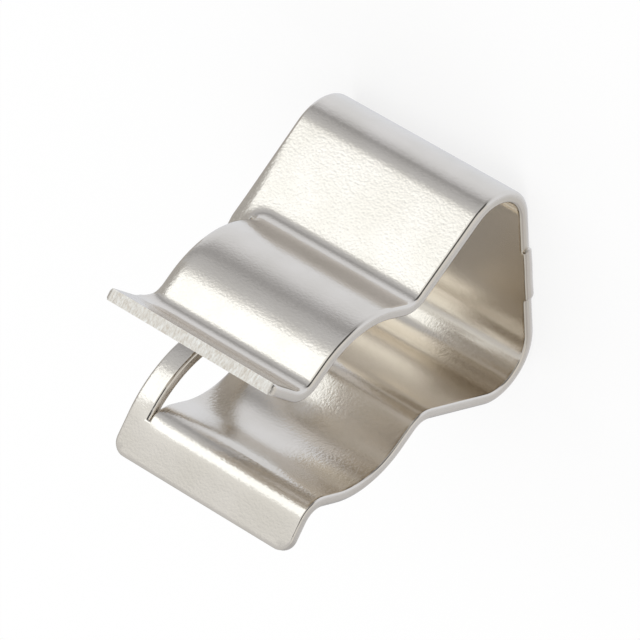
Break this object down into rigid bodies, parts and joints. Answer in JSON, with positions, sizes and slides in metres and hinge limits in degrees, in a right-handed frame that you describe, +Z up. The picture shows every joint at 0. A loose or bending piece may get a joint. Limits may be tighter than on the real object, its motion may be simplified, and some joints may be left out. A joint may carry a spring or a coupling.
{
  "type": "pcb fuse clip",
  "caption": "Folded spring sheet clip with a flat base, two bowed arms that grip a round fuse cap, flared lips and an end stop.",
  "frame": {"origin": "centre of the base's underside, midway along the length of the sheet", "axes": "+Z up from the base to the mouth, +X along the fuse axis to the end stop, +Y to the arm that carries the stop bridge"},
  "size_m": [0.0075, 0.0084, 0.0119],
  "materials": {
    "nickel_plate": "bright nickel plate"
  },
  "bodies": {
    "root": {"fuse_clip": "nickel_plate"}
  },
  "joints": []
}
